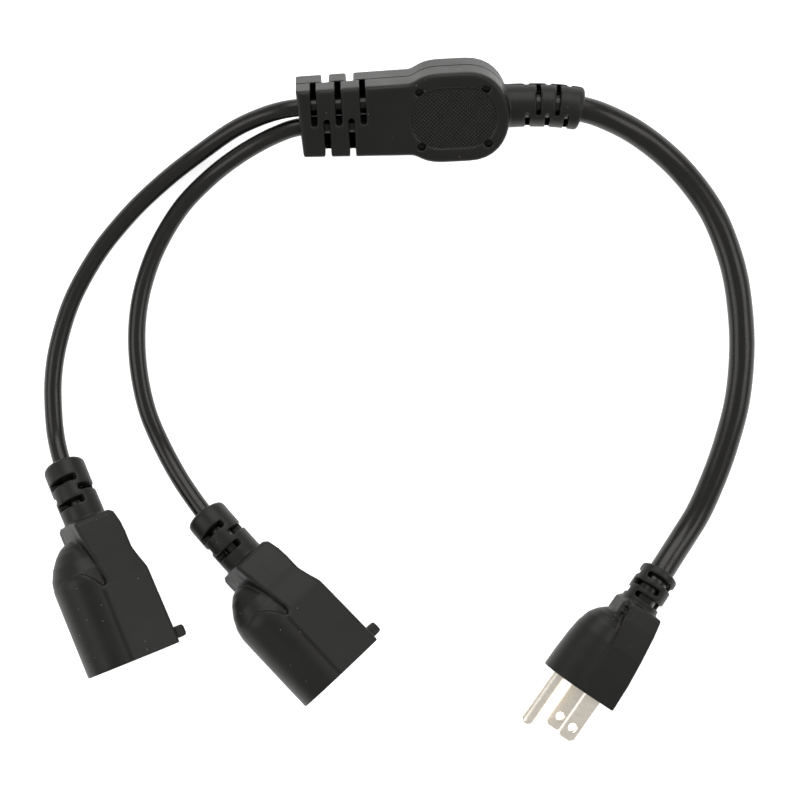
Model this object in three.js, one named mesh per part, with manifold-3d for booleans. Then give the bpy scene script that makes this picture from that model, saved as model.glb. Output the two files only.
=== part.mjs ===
import * as THREE from "three";
import { mergeVertices } from "three/addons/utils/BufferGeometryUtils.js";
import Module from "manifold-3d";

// A power cord splitter: one three-pin plug, a moulded junction and two sockets,
// lying on a table as loose cords leave them. Millimetres, +Z up, table at z = 0.

// Clearances
const clearance = 0.3; // between pieces that touch
const seatGap = 0.3; // end faces that meet

// Cords
const mainCordDiameter = 8.7;
const branchCordDiameter = 6;
const wireDiameter = 2.2;
const cordSides = 10;
const wireSides = 7;
const wireSteps = 8;
const reliefSides = 20;

// Blades and pin of a three-pin plug, and the socket openings that take them
const bladeSpacing = 12.7;
const groundOffset = 11.9;
const bladeWidth = 6.35;
const bladeThickness = 1.5;
const bladeLength = 16.6;
const bladeHoleDiameter = 3.1;
const bladeHoleFromTip = 4.6;
const bladeTipChamfer = 1.3;
const groundPinDiameter = 4.75;
const groundPinLength = 20.6;
const lineSlotWidth = 7;
const neutralSlotWidth = 8.6;
const slotThickness = 2;
const groundHoleDiameter = 5.6;

// Junction
const podLength = 32.5;
const podWidth = 31;
const podThickness = 19.2;
const trunkLength = 37.5;
const trunkWidthAtPod = 25;
const trunkWidthAtEnd = 23.6;
const mouldEdgeRadius = 1.6;
const junctionRollDeg = 22;
const padLength = 28;
const padWidth = 20;
const padCorner = 7.5;
const padDepth = 0.9;
const pinHoleDiameter = 2.5;
const pinHoleDepth = 2.2;
const pinHoleSpan = [22.2, 18.6];
const padCentreX = -2.3;
const junctionReliefDiameter = 14.6;
const junctionReliefLength = 25;

// Slots that let a relief bend
const trunkSlotWidth = 1.9;
const trunkBackSlotWidth = 2.4;
const trunkSlotPitch = 8.2;
const trunkSlotsFromEnd = 4.4;
const trunkTopSlotPast = 2;
const trunkBottomSlotPast = 0.3;
const reliefSlotWidth = 1.3;
const reliefSlotPast = 0.4;
const reliefRimRadius = 1.4;
const junctionReliefSlots = [6.7, 10.8, 14, 18.2, 21];

// Plug moulding
const plugLength = 33.8;
const plugBladeLine = 2.4;
const plugFlatSide = 9;
const plugHalfThickness = 10.9;
const plugRoundCentre = -4.3;
const plugRollDeg = -21.5;
const plugReliefDiameter = 12.6;
const plugReliefLength = 13.5;

// Socket mouldings
const socketLength = 49.8;
const socketBladeLine = 3.6;
const socketFlatSide = 10.8;
const socketHalfThickness = 12;
const socketRoundCentre = -7.6;
const socketRoundRadius = 11.6;
const socketRollDeg = -24;
const socketFaceWall = 2.6;
const socketReliefDiameter = 13.6;
const socketReliefLength = 18.4;
const nubDiameter = 4;
const nubHeight = 2.9;
const nubFromFace = 4.6;

// Inner pieces
const jacketEndMain = 15;
const jacketEndBranch = -28.1;
const branchOffset = 3.2;
const branchLevel = 1.45;
const crimpDiameter = 5.2;
const channelOverrun = 0.8;
const channelClearance = 0.45;
const plugJacketEnd = 10;
const socketJacketEnd = 10.9;
const passageDiameter = 7.2;
const contactThickness = 0.5;
const contactGap = 1.1;
const contactWidth = 6;
const neckRibWidth = 0.7;
const neckRibHeight = 0.45;

// Puts the foot of the mouldings' box at the origin
const placeShift = [13.05, -0.4, -0.25];
const shifted = (points) => points.map((p) => p.map((v, i) => v + placeShift[i]));

// Cord routes, from the junction outwards, as the cords lie
const mainRoute = shifted([
  [35, 98.1, 14.4], [43, 98.4, 14.4], [51.5, 98.2, 14.3], [58.5, 97.4, 13.9], [65, 95.9, 12.9],
  [71, 93.6, 11.3], [78, 90.1, 9.1], [85.4, 85.2, 6.8], [93, 78.5, 5.1], [99.8, 70.6, 4.7],
  [105.2, 62.2, 4.65], [109.7, 51.6, 4.65], [112.9, 39.6, 4.65], [114.5, 26, 4.65], [114.6, 12.6, 4.65],
  [112.8, -2, 4.65], [109.6, -14, 4.65], [105.2, -26.5, 4.7], [99.9, -38, 5.2], [94.5, -46.6, 7],
  [90.6, -52.3, 9.3], [87.1, -57.5, 11.6], [83.4, -62.9, 13.3], [79.6, -68.4, 13.9], [73.9, -76.6, 13.7],
]);
const branchRouteA = shifted([
  [-8.2, 98.7, 15.6], [-20, 98.1, 15.6], [-33.6, 97.4, 15.6], [-40.5, 96.3, 14.6], [-48, 94, 12],
  [-56, 90.3, 8.8], [-67.5, 82.6, 5], [-79.6, 73.2, 3.75], [-91.2, 62, 3.6], [-101.3, 49.4, 3.6],
  [-109.8, 34.2, 3.6], [-114.8, 18.6, 3.6], [-116.5, 6.6, 3.6], [-116.4, -3.4, 3.6],
  [-115.4, -12.5, 4.8], [-113.6, -19.6, 7.4], [-111.1, -25.7, 10.2], [-108.1, -32.6, 12.8],
  [-105, -39.7, 14.1], [-100.9, -49.8, 14.4],
]);
const branchRouteB = shifted([
  [-8.6, 92.5, 13.2], [-20.4, 91.9, 13.2], [-34, 91, 13.2], [-40.5, 88.9, 12.6], [-47.2, 85.8, 11],
  [-55, 81.2, 8.2], [-64.2, 74.3, 4.9], [-74, 64, 3.75], [-82, 50.3, 3.6], [-86.6, 36.8, 3.6],
  [-88.4, 23.4, 3.6], [-87.7, 9.9, 3.6], [-84.9, -3.4, 3.65], [-80.3, -14.5, 3.7],
  [-75.5, -23.4, 5.8], [-70.6, -30.9, 8.6], [-64.6, -38.8, 11.9], [-58.6, -45.6, 14.1],
  [-51.9, -53, 14.3], [-44.4, -61, 14.5],
]);

const wasm = await Module();
wasm.setup();

const splitter = new THREE.Group();

// Materials
function material(color, roughness, metalness = 0) {
  return new THREE.MeshStandardMaterial({ color, roughness, metalness });
}
const mouldedPvc = () => material(0x343432, 0.62);
const jacketPvc = () => material(0x2a2a28, 0.42);
const innerPvc = () => material(0x1f2022, 0.6);
const nickelPlate = () => material(0xc9c2b4, 0.28, 1);
const contactBrass = () => material(0xb9985a, 0.32, 1);
const wireColours = { line: 0x191919, neutral: 0xe6e4dc, ground: 0x2f7a45 };

// Solids: a closed geometry becomes a solid for joins and cuts, and comes back as a geometry
function solidOf(geometry) {
  const bare = new THREE.BufferGeometry();
  const flat = geometry.index ? geometry.toNonIndexed() : geometry;
  bare.setAttribute("position", flat.getAttribute("position"));
  const merged = mergeVertices(bare, 1e-4);
  const solid = new wasm.Manifold(
    new wasm.Mesh({
      numProp: 3,
      vertProperties: merged.attributes.position.array,
      triVerts: new Uint32Array(merged.index.array),
    }),
  );
  return solid;
}

function geometryOf(solid) {
  const mesh = solid.getMesh();
  const geometry = new THREE.BufferGeometry();
  geometry.setAttribute("position", new THREE.BufferAttribute(mesh.vertProperties, 3));
  geometry.setIndex(new THREE.BufferAttribute(mesh.triVerts, 1));
  const split = geometry.toNonIndexed();
  split.computeVertexNormals();
  return split;
}

function addPiece(parent, name, geometry, look) {
  const mesh = new THREE.Mesh(geometry, look);
  mesh.name = name;
  parent.add(mesh);
  return mesh;
}

// A closed skin over rings of points that all have the same count
function loft(rings) {
  const count = rings[0].length;
  const points = rings.flat();
  const faces = [];
  for (let r = 0; r + 1 < rings.length; r++) {
    for (let i = 0; i < count; i++) {
      const a = r * count + i;
      const b = r * count + ((i + 1) % count);
      faces.push(a, b, b + count, a, b + count, a + count);
    }
  }
  for (const [start, turned] of [[0, true], [(rings.length - 1) * count, false]]) {
    const outline = rings[start / count];
    const centre = outline.reduce((sum, p) => sum.add(p), new THREE.Vector3());
    points.push(centre.divideScalar(count));
    for (let i = 0; i < count; i++) {
      const a = start + i;
      const b = start + ((i + 1) % count);
      faces.push(...(turned ? [points.length - 1, b, a] : [points.length - 1, a, b]));
    }
  }
  const geometry = new THREE.BufferGeometry().setFromPoints(points);
  geometry.setIndex(faces);
  return geometry;
}

function box(size, centre) {
  return solidOf(new THREE.BoxGeometry(...size).translate(...centre));
}

function rodAlongX(diameter, fromX, toX, y, z, sides = 20) {
  const rod = new THREE.CylinderGeometry(diameter / 2, diameter / 2, toX - fromX, sides);
  return rod.rotateZ(-Math.PI / 2).translate((fromX + toX) / 2, y, z);
}

function curveThrough(points) {
  return new THREE.CatmullRomCurve3(points.map((p) => new THREE.Vector3(...p)), false, "centripetal");
}

// A round tube on a curve: rings of points carried along it without twist
function tubeRings(curve, radiusAt, stations, sides, up = new THREE.Vector3(0, 0, 1)) {
  return stations.map((u) => {
    const centre = curve.getPointAt(u);
    const along = curve.getTangentAt(u);
    const side = new THREE.Vector3().crossVectors(up, along).normalize();
    const top = new THREE.Vector3().crossVectors(along, side);
    const radius = typeof radiusAt === "function" ? radiusAt(u) : radiusAt;
    return Array.from({ length: sides }, (_, i) => {
      const turn = (2 * Math.PI * i) / sides;
      return centre.clone()
        .addScaledVector(side, radius * Math.cos(turn))
        .addScaledVector(top, radius * Math.sin(turn));
    });
  });
}

function evenly(from, to, steps) {
  return Array.from({ length: steps + 1 }, (_, i) => from + ((to - from) * i) / steps);
}

function roundShape(radius, sides) {
  const points = Array.from({ length: sides }, (_, i) => {
    const turn = (2 * Math.PI * i) / sides;
    return new THREE.Vector2(radius * Math.cos(turn), radius * Math.sin(turn));
  });
  return new THREE.Shape(points);
}

function tubeAlong(curve, diameter, sides, steps) {
  const settings = { extrudePath: curve, steps, bevelEnabled: false };
  return new THREE.ExtrudeGeometry(roundShape(diameter / 2, sides), settings);
}

// The frame of a moulding: x from the cord towards the free end, rolled about x
function mouldingFrame(origin, along, rollDeg) {
  const x = along.clone().normalize();
  const y = new THREE.Vector3(0, 0, 1).cross(x).normalize();
  const z = new THREE.Vector3().crossVectors(x, y);
  const group = new THREE.Group();
  group.quaternion.setFromRotationMatrix(new THREE.Matrix4().makeBasis(x, y, z));
  group.quaternion.multiply(
    new THREE.Quaternion().setFromAxisAngle(new THREE.Vector3(1, 0, 0), THREE.MathUtils.degToRad(rollDeg)),
  );
  group.position.copy(origin);
  splitter.add(group);
  group.updateMatrixWorld(true);
  return group;
}

function curveIn(group, route) {
  const points = route.map((p) => group.worldToLocal(new THREE.Vector3(...p)));
  return new THREE.CatmullRomCurve3(points, false, "centripetal");
}

// Where along a curve, from 0 to 1, its local x passes a value
function shareAtX(curve, x) {
  const steps = 400;
  const rising = curve.getPointAt(1).x > curve.getPointAt(0).x;
  for (let i = 0; i <= steps; i++) {
    const here = curve.getPointAt(i / steps).x;
    if (rising ? here >= x : here <= x) return i / steps;
  }
  return 1;
}

// A rounded rectangle in the plane of one x, as a ring of points
function roundedRing(x, yLow, yHigh, zHalf, radius, cornerPoints = 4) {
  const ring = [];
  const corners = [[yHigh, zHalf, 0], [yLow, zHalf, 1], [yLow, -zHalf, 2], [yHigh, -zHalf, 3]];
  for (const [y, z, quarter] of corners) {
    const cy = y - Math.sign(y - (yLow + yHigh) / 2) * radius;
    const cz = z - Math.sign(z) * radius;
    for (let i = 0; i < cornerPoints; i++) {
      const turn = (Math.PI / 2) * (quarter + i / (cornerPoints - 1));
      ring.push(new THREE.Vector3(x, cy + radius * Math.cos(turn), cz + radius * Math.sin(turn)));
    }
  }
  return ring;
}

// The bendable relief that is moulded round a cord: a round sleeve on the cord's own curve.
// from and to are shares of the curve, and to is the outer end, with a rounded rim.
function reliefSleeve(curve, from, to, diameter) {
  const length = curve.getLength();
  const rim = reliefRimRadius;
  const edge = (rim / length) * Math.sign(to - from);
  const stations = [...evenly(from, to - edge, 5), to - edge * 0.35, to];
  const radiusAt = (u) => {
    const left = Math.abs(to - u) * length;
    const inward = Math.max(0, rim - left);
    return diameter / 2 - (rim - Math.sqrt(rim ** 2 - inward ** 2)) * 0.98;
  };
  const rings = tubeRings(curve, radiusAt, stations, reliefSides);
  return solidOf(loft(to > from ? rings : rings.reverse()));
}

// A slot goes in from one side, a little past the middle, through the upper or the lower half
function reliefCut(curve, u, side, half, width, reach, past) {
  const along = curve.getTangentAt(u);
  const across = new THREE.Vector3(0, 0, 1).cross(along).normalize();
  const up = new THREE.Vector3().crossVectors(along, across);
  const cut = new THREE.BoxGeometry(width, reach + past, reach);
  cut.translate(0, (side * (reach - past)) / 2, (half * reach) / 2);
  return solidOf(cut.applyMatrix4(new THREE.Matrix4().makeBasis(along, across, up).setPosition(curve.getPointAt(u))));
}

// Slots by turns: at each station one half is open on one side, the other half opposite it
function cutReliefSlots(relief, curve, from, to, places, firstSide, reach, past) {
  const step = Math.sign(to - from) / curve.getLength();
  places.forEach((place, i) => {
    const side = i % 2 ? -firstSide : firstSide;
    const u = from + step * place;
    relief = relief.subtract(reliefCut(curve, u, side, 1, reliefSlotWidth, reach, past));
    relief = relief.subtract(reliefCut(curve, u, -side, -1, reliefSlotWidth, reach, past));
  });
  return relief;
}

// The bore that a cord lies in, from one share of its curve to another
function cordBore(curve, from, to, diameter) {
  const [low, high] = [Math.min(from, to), Math.max(from, to)];
  const steps = Math.max(6, Math.ceil(((high - low) * curve.getLength()) / 6));
  return solidOf(loft(tubeRings(curve, diameter / 2 + clearance, evenly(low, high, steps), cordSides + 2)));
}

function wireSolid(points, extra = 0) {
  return solidOf(tubeAlong(curveThrough(points), wireDiameter + 2 * extra, wireSides, wireSteps));
}

// A channel runs a little past its wire at both ends, so that no skin is left there
function channelSolid(points) {
  const [first, second] = points.slice(0, 2).map((p) => new THREE.Vector3(...p));
  const [before, last] = points.slice(-2).map((p) => new THREE.Vector3(...p));
  first.addScaledVector(first.clone().sub(second).normalize(), channelOverrun);
  last.addScaledVector(last.clone().sub(before).normalize(), channelOverrun);
  return wireSolid([first.toArray(), ...points.slice(1, -1), last.toArray()], channelClearance);
}

// The centres of the three cores in the end of a jacket
function coreCentres(ringRadius, turnDeg) {
  return [0, 120, 240].map((deg) => {
    const turn = THREE.MathUtils.degToRad(deg + turnDeg);
    return [ringRadius * Math.cos(turn), ringRadius * Math.sin(turn)];
  });
}

// A strip of even thickness along a line of points, as a flat shape
function stripShape(line, thickness) {
  const sides = [1, -1].map((side) =>
    line.map(([x, y], i) => {
      const [ax, ay] = line[Math.max(i - 1, 0)];
      const [bx, by] = line[Math.min(i + 1, line.length - 1)];
      const run = Math.hypot(bx - ax, by - ay);
      const half = (side * thickness) / 2;
      return new THREE.Vector2(x - ((by - ay) / run) * half, y + ((bx - ax) / run) * half);
    }),
  );
  return new THREE.Shape([...sides[1], ...sides[0].reverse()]);
}

// Junction
const junctionTiltDeg = 2.9;
const junctionOrigin = new THREE.Vector3(...shifted([[20, 96.87, 14.4]])[0]);
const tilt = THREE.MathUtils.degToRad(junctionTiltDeg);
const junction = mouldingFrame(junctionOrigin, new THREE.Vector3(Math.cos(tilt), Math.sin(tilt), 0), junctionRollDeg);
const mainInJunction = curveIn(junction, mainRoute);
const branchesInJunction = [branchRouteA, branchRouteB].map((route) => curveIn(junction, route));
const podEnd = podLength / 2;
const trunkEnd = -podEnd - trunkLength;

function junctionOutline() {
  const shape = new THREE.Shape();
  const halfPod = podWidth / 2;
  const halfTrunk = trunkWidthAtPod / 2;
  shape.moveTo(trunkEnd, -trunkWidthAtEnd / 2);
  shape.lineTo(-podEnd - 0.5, -halfTrunk);
  shape.bezierCurveTo(-podEnd + 2.5, -halfTrunk - 0.6, -podEnd + 3, -halfPod, -podEnd * 0.35, -halfPod);
  shape.lineTo(podEnd * 0.3, -halfPod + 0.1);
  shape.bezierCurveTo(podEnd * 0.78, -halfPod + 0.4, podEnd, -halfPod * 0.45, podEnd, 0);
  shape.bezierCurveTo(podEnd, halfPod * 0.45, podEnd * 0.78, halfPod - 0.4, podEnd * 0.3, halfPod - 0.1);
  shape.lineTo(-podEnd * 0.35, halfPod);
  shape.bezierCurveTo(-podEnd + 3, halfPod, -podEnd + 2.5, halfTrunk + 0.6, -podEnd - 0.5, halfTrunk);
  shape.lineTo(trunkEnd, trunkWidthAtEnd / 2);
  shape.closePath();
  return shape;
}

function roundedRectShape(length, width, corner) {
  const shape = new THREE.Shape();
  const [x, y] = [length / 2, width / 2];
  shape.moveTo(-x + corner, -y);
  shape.lineTo(x - corner, -y);
  shape.quadraticCurveTo(x, -y, x, -y + corner);
  shape.lineTo(x, y - corner);
  shape.quadraticCurveTo(x, y, x - corner, y);
  shape.lineTo(-x + corner, y);
  shape.quadraticCurveTo(-x, y, -x, y - corner);
  shape.lineTo(-x, -y + corner);
  shape.quadraticCurveTo(-x, -y, -x + corner, -y);
  return shape;
}

const crimpX = [-6.5, 2.5];
const crimpPitch = 5.9;
const junctionCavity = [
  [jacketEndBranch + seatGap, -9.4, -6.1],
  [jacketEndMain - seatGap, 9.4, 6.1],
];

function innerBox([low, high], grow) {
  const size = low.map((v, i) => high[i] - v + 2 * grow);
  return box(size, low.map((v, i) => (v + high[i]) / 2));
}

function junctionBody() {
  const bevel = {
    bevelEnabled: true,
    bevelSegments: 2,
    bevelSize: mouldEdgeRadius,
    bevelThickness: mouldEdgeRadius,
    bevelOffset: -mouldEdgeRadius,
    curveSegments: 6,
    depth: podThickness - 2 * mouldEdgeRadius,
  };
  const shell = new THREE.ExtrudeGeometry(junctionOutline(), bevel);
  let body = solidOf(shell.translate(0, 0, mouldEdgeRadius - podThickness / 2));
  const from = shareAtX(mainInJunction, podEnd - 2.5);
  const start = shareAtX(mainInJunction, podEnd);
  const to = start + junctionReliefLength / mainInJunction.getLength();
  let relief = reliefSleeve(mainInJunction, from, to, junctionReliefDiameter);
  relief = cutReliefSlots(
    relief, mainInJunction, start, to, junctionReliefSlots, -1, junctionReliefDiameter, reliefSlotPast,
  );
  body = body.add(relief);
  for (const face of [1, -1]) {
    const pad = new THREE.ExtrudeGeometry(roundedRectShape(padLength, padWidth, padCorner), {
      depth: 2 * padDepth, bevelEnabled: false, curveSegments: 4,
    });
    body = body.subtract(solidOf(pad.translate(padCentreX, 0, (face * podThickness) / 2 - padDepth)));
    for (const sx of [-1, 1]) {
      for (const sy of [-1, 1]) {
        const hole = new THREE.CylinderGeometry(pinHoleDiameter / 2, pinHoleDiameter / 2, 2 * pinHoleDepth, 10);
        hole.rotateX(Math.PI / 2);
        hole.translate(padCentreX + sx * pinHoleSpan[0] / 2, sy * pinHoleSpan[1] / 2, (face * podThickness) / 2);
        body = body.subtract(solidOf(hole));
      }
    }
  }
  for (let i = 0; i < 5; i++) {
    const x = trunkEnd + trunkSlotsFromEnd + (i * trunkSlotPitch) / 2;
    const fromTop = i % 2 === 0;
    body = body.subtract(trunkSlot(x, fromTop ? 1 : -1, 1, trunkSlotWidth, fromTop));
    body = body.subtract(trunkSlot(x, fromTop ? -1 : 1, -1, trunkBackSlotWidth, !fromTop));
  }
  body = body.subtract(innerBox(junctionCavity, clearance));
  body = body.subtract(cordBore(mainInJunction, 0, to + 0.01, mainCordDiameter));
  for (const branch of branchesInJunction) {
    const outer = shareAtX(branch, trunkEnd - 3);
    body = body.subtract(cordBore(branch, 0, outer, branchCordDiameter));
  }
  return body;
}

// A slot with a round inner end, cut from the top or bottom edge through one half
function trunkSlot(x, side, half, width, deep) {
  const past = deep ? trunkTopSlotPast : trunkBottomSlotPast;
  const reach = podWidth / 2;
  const shape = new THREE.Shape();
  shape.moveTo(-width / 2, reach);
  shape.lineTo(-width / 2, -past + width / 2);
  shape.absarc(0, -past + width / 2, width / 2, Math.PI, 2 * Math.PI, false);
  shape.lineTo(width / 2, reach);
  shape.closePath();
  const cut = new THREE.ExtrudeGeometry(shape, { depth: podThickness, bevelEnabled: false, curveSegments: 4 });
  if (side < 0) cut.rotateZ(Math.PI);
  cut.translate(x, 0, half > 0 ? 0 : -podThickness);
  return solidOf(cut);
}

const layers = [["a", 1, 0], ["b", -1, 1]];
const junctionWires = {};
const coreNames = ["line", "neutral", "ground"];
const wireGap = seatGap + wireDiameter / 2;

function layJunctionWires() {
  const mainCores = coreCentres(1.9, 90);
  const mainSeats = [0, -crimpPitch, crimpPitch];
  mainCores.forEach(([y, z], i) => {
    const seat = mainSeats[i];
    junctionWires["main_" + coreNames[i]] = [
      [jacketEndMain - seatGap, y, z], [jacketEndMain - 2.4, y, z], [jacketEndMain - 5.5, (y + seat) / 2, z / 2],
      [crimpX[1] + 3, seat, 0], [crimpX[1] + seatGap, seat, 0],
    ];
  });
  for (const [letter, sign] of layers) {
    const start = jacketEndBranch + seatGap;
    const y0 = sign * branchOffset;
    const seats = [sign * -crimpPitch, sign * crimpPitch, 0];
    const cores = [[0, 1.5], [1.35, -0.75], [-1.35, -0.75]];
    cores.forEach(([dy, dz], i) => {
      const [y, z] = [y0 + sign * dy, sign * dz];
      const level = sign * (i === 0 ? 4.3 : branchLevel);
      const seat = seats[i];
      const route = [[start, y, z], [start + 1.6, y, z], [start + 5.4, y, level]];
      if (i === 0) route.push([start + 7, y, level], [start + 13.5, seat, level], [start + 16, seat, level * 0.9]);
      else route.push([start + 8, y, level], [start + 13, seat, level]);
      route.push([crimpX[0] - 1.3, seat, sign * branchLevel], [crimpX[0] - seatGap, seat, sign * branchLevel]);
      const seatName = seat === 0 ? "line" : seat < 0 ? "neutral" : "ground";
      junctionWires["branch_" + letter + "_" + seatName] = route;
    });
  }
}

layJunctionWires();
addPiece(junction, "junction_overmould", geometryOf(junctionBody()), mouldedPvc());
const crimpSeats = { line: 0, neutral: -crimpPitch, ground: crimpPitch };
let junctionBlock = innerBox(junctionCavity, 0);
for (const route of Object.values(junctionWires)) junctionBlock = junctionBlock.subtract(channelSolid(route));
for (const [name, y] of Object.entries(crimpSeats)) {
  const around = rodAlongX(crimpDiameter + 2 * clearance, crimpX[0] - 0.8, crimpX[1] + 0.8, y, 0, 14);
  junctionBlock = junctionBlock.subtract(solidOf(around));
  addPiece(junction, "splice_crimp_" + name, rodAlongX(crimpDiameter, ...crimpX, y, 0, 14), contactBrass());
}
addPiece(junction, "junction_inner_block", geometryOf(junctionBlock), innerPvc());
for (const [name, route] of Object.entries(junctionWires)) {
  const core = name.split("_").at(-1);
  addPiece(junction, "wire_" + name, tubeAlong(curveThrough(route), wireDiameter, wireSides, wireSteps),
    material(wireColours[core], 0.45));
}

// Plug and sockets share a form: a slab on the blades' side, and a round back on the ground side
// that starts as a nose behind a neck block
function slabSolid(stations) {
  return solidOf(loft(stations.map(([x, low, high, half]) => roundedRing(x, low, high, half, mouldEdgeRadius))));
}

function roundBack(profile, centreY) {
  const points = profile.map(([x, r]) => new THREE.Vector2(r, x));
  const turned = new THREE.LatheGeometry([...points, new THREE.Vector2(0, profile.at(-1)[0])], 30);
  return solidOf(turned.rotateZ(-Math.PI / 2).translate(0, centreY, 0));
}

function neckBlock(from, to, outerY, half, ribPlaces) {
  let neck = solidOf(loft([
    roundedRing(from, outerY + 1, 0, half - 0.6, 1.2), roundedRing(from + 1.2, outerY, 0, half, 1.2),
    roundedRing(to, outerY, 0, half, 1.2),
  ]));
  for (const x of ribPlaces) {
    for (const side of [1, -1]) {
      neck = neck.add(box([neckRibWidth, -outerY - 2.6, 2 * neckRibHeight], [x, outerY / 2 - 0.4, side * half]));
    }
  }
  return neck;
}

function wiresToSeats(fromX, passageEnd, seats, ringRadius, turnDeg) {
  const cores = coreCentres(ringRadius, turnDeg);
  return seats.map(([seatX, y, z], i) => {
    const [cy, cz] = cores[i];
    return [
      [fromX, cy, cz], [(fromX + passageEnd) / 2, cy, cz], [passageEnd, cy * 1.05, cz * 1.05],
      [(passageEnd + seatX) / 2, (cy + y) / 2, (cz + z) / 2], [seatX - 1.6, y, z], [seatX, y, z],
    ];
  });
}

const endCurve = (group, route) => {
  const curve = curveIn(group, route);
  return { curve, shoulder: shareAtX(curve, 0) };
};

function endFrame(route, rollDeg) {
  const [shoulder, inner] = route.slice(-2).map((p) => new THREE.Vector3(...p));
  return mouldingFrame(shoulder, inner.clone().sub(shoulder), rollDeg);
}

function addRelief(body, group, route, diameter, length, cordDiameter, places, firstSide) {
  const { curve, shoulder } = endCurve(group, route);
  const inside = shareAtX(curve, 3);
  const to = shoulder - length / curve.getLength();
  let relief = reliefSleeve(curve, inside, to, diameter);
  relief = cutReliefSlots(relief, curve, shoulder, to, places, firstSide, diameter, reliefSlotPast);
  const joined = body.add(relief).subtract(cordBore(curve, 1, to - 0.01, cordDiameter));
  return joined;
}

// Plug
const plug = endFrame(mainRoute, plugRollDeg);
const plugGroundLine = plugBladeLine - groundOffset;
const plugCavityX = [14, 30];
const bladeRootX = 22.5;

function plugCore(grow) {
  const [x0, x1] = plugCavityX;
  let core = innerBox([[x0, -6.4, -8.1], [x1, 6.1, 8.1]], grow);
  core = core.add(innerBox([[x0, plugGroundLine, -3.3], [x1, -6, 3.6]], grow));
  return core.add(solidOf(rodAlongX(6.6 + 2 * grow, x0 - grow, x1 + grow, plugGroundLine, 0, 20)));
}

function bladeShape() {
  const half = bladeWidth / 2;
  const shape = new THREE.Shape();
  const tip = plugLength + bladeLength;
  shape.moveTo(bladeRootX, -half);
  shape.lineTo(tip - bladeTipChamfer, -half);
  shape.lineTo(tip, -half + bladeTipChamfer);
  shape.lineTo(tip, half - bladeTipChamfer);
  shape.lineTo(tip - bladeTipChamfer, half);
  shape.lineTo(bladeRootX, half);
  shape.closePath();
  const hole = new THREE.Path();
  hole.absarc(tip - bladeHoleFromTip, 0, bladeHoleDiameter / 2, 0, 2 * Math.PI, true);
  shape.holes.push(hole);
  return shape;
}

function bladeGeometry(z, grow) {
  if (grow) {
    const length = plugLength + 2 - bladeRootX;
    const size = [length + 2 * grow, bladeWidth + 2 * grow, bladeThickness + 2 * grow];
    return box(size, [bladeRootX + length / 2, plugBladeLine, z]);
  }
  const blade = new THREE.ExtrudeGeometry(bladeShape(), {
    depth: bladeThickness - 0.4, bevelEnabled: true, bevelSize: 0.2, bevelThickness: 0.2, bevelOffset: -0.2,
    bevelSegments: 1, curveSegments: 10,
  });
  return blade.translate(0, plugBladeLine, z - bladeThickness / 2 + 0.2);
}

function groundPinGeometry() {
  const radius = groundPinDiameter / 2;
  const tip = plugLength + groundPinLength;
  const profile = [[0, bladeRootX], [radius, bladeRootX], [radius, tip - radius]];
  for (let i = 1; i <= 5; i++) {
    const turn = (i / 5) * (Math.PI / 2);
    profile.push([radius * Math.cos(turn), tip - radius + radius * Math.sin(turn)]);
  }
  profile.at(-1)[0] = 0;
  const pin = new THREE.LatheGeometry(profile.map((p) => new THREE.Vector2(...p)), 20);
  return pin.rotateZ(-Math.PI / 2).translate(0, plugGroundLine, 0);
}

function buildPlug() {
  let body = slabSolid([
    [0, -3.4, 5.2, 6.4], [1.4, -3.6, 6.4, 7.6], [13, -3.8, 7.2, 9.2], [24, -4, 8.3, 10.4],
    [plugLength, -4.2, plugFlatSide, plugHalfThickness],
  ]);
  const nose = [[5, 0], [5.6, 2.6], [6.6, 4.6], [8.6, 6.7], [11, 8.4], [15.5, 9.9], [20.5, 10.7]];
  body = body.add(roundBack([...nose, [plugLength, plugHalfThickness - 0.1]], plugRoundCentre));
  body = body.add(neckBlock(0.6, 7.6, -6.8, 4.6, [2.6, 4.9]));
  body = addRelief(body, plug, mainRoute, plugReliefDiameter, plugReliefLength, mainCordDiameter, [10.3, 7.1, 3.9], 1);
  const seats = [
    [bladeRootX - seatGap, plugBladeLine, bladeSpacing / 2],
    [bladeRootX - seatGap, plugGroundLine, 0],
    [bladeRootX - seatGap, plugBladeLine, -bladeSpacing / 2],
  ];
  const routes = wiresToSeats(plugJacketEnd + seatGap, plugCavityX[0], seats, 1.9, 60);
  body = body.subtract(plugCore(clearance));
  body = body.subtract(solidOf(rodAlongX(passageDiameter, plugJacketEnd - 1, plugCavityX[0] + 0.5, 0, 0, 16)));
  let core = plugCore(0);
  const roundHole = (grow) => solidOf(
    rodAlongX(groundPinDiameter + 2 * grow, bladeRootX - grow, plugLength + 1, plugGroundLine, 0, 20),
  );
  for (const side of [1, -1]) {
    const hole = bladeGeometry((side * bladeSpacing) / 2, clearance);
    body = body.subtract(hole);
    core = core.subtract(hole);
  }
  body = body.subtract(roundHole(clearance));
  core = core.subtract(roundHole(clearance));
  for (const route of routes) core = core.subtract(channelSolid(route));
  addPiece(plug, "plug_moulding", geometryOf(body), mouldedPvc());
  addPiece(plug, "plug_inner_block", geometryOf(core), innerPvc());
  addPiece(plug, "plug_blade_line", bladeGeometry(bladeSpacing / 2, 0), nickelPlate());
  addPiece(plug, "plug_blade_neutral", bladeGeometry(-bladeSpacing / 2, 0), nickelPlate());
  addPiece(plug, "plug_ground_pin", groundPinGeometry(), nickelPlate());
  ["line", "ground", "neutral"].forEach((core3, i) => {
    const wire = tubeAlong(curveThrough(routes[i]), wireDiameter, wireSides, wireSteps);
    addPiece(plug, "wire_plug_" + core3, wire, material(wireColours[core3], 0.45));
  });
}

buildPlug();

// Sockets
const socketGroundLine = socketBladeLine - groundOffset;
const socketCavityX = [20.2, socketLength - socketFaceWall - seatGap];
const contactX = [27, socketCavityX[1] - 1.2];
const pocketHalf = [4.7, 2.3];
const groundPocketDiameter = 8;

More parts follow.
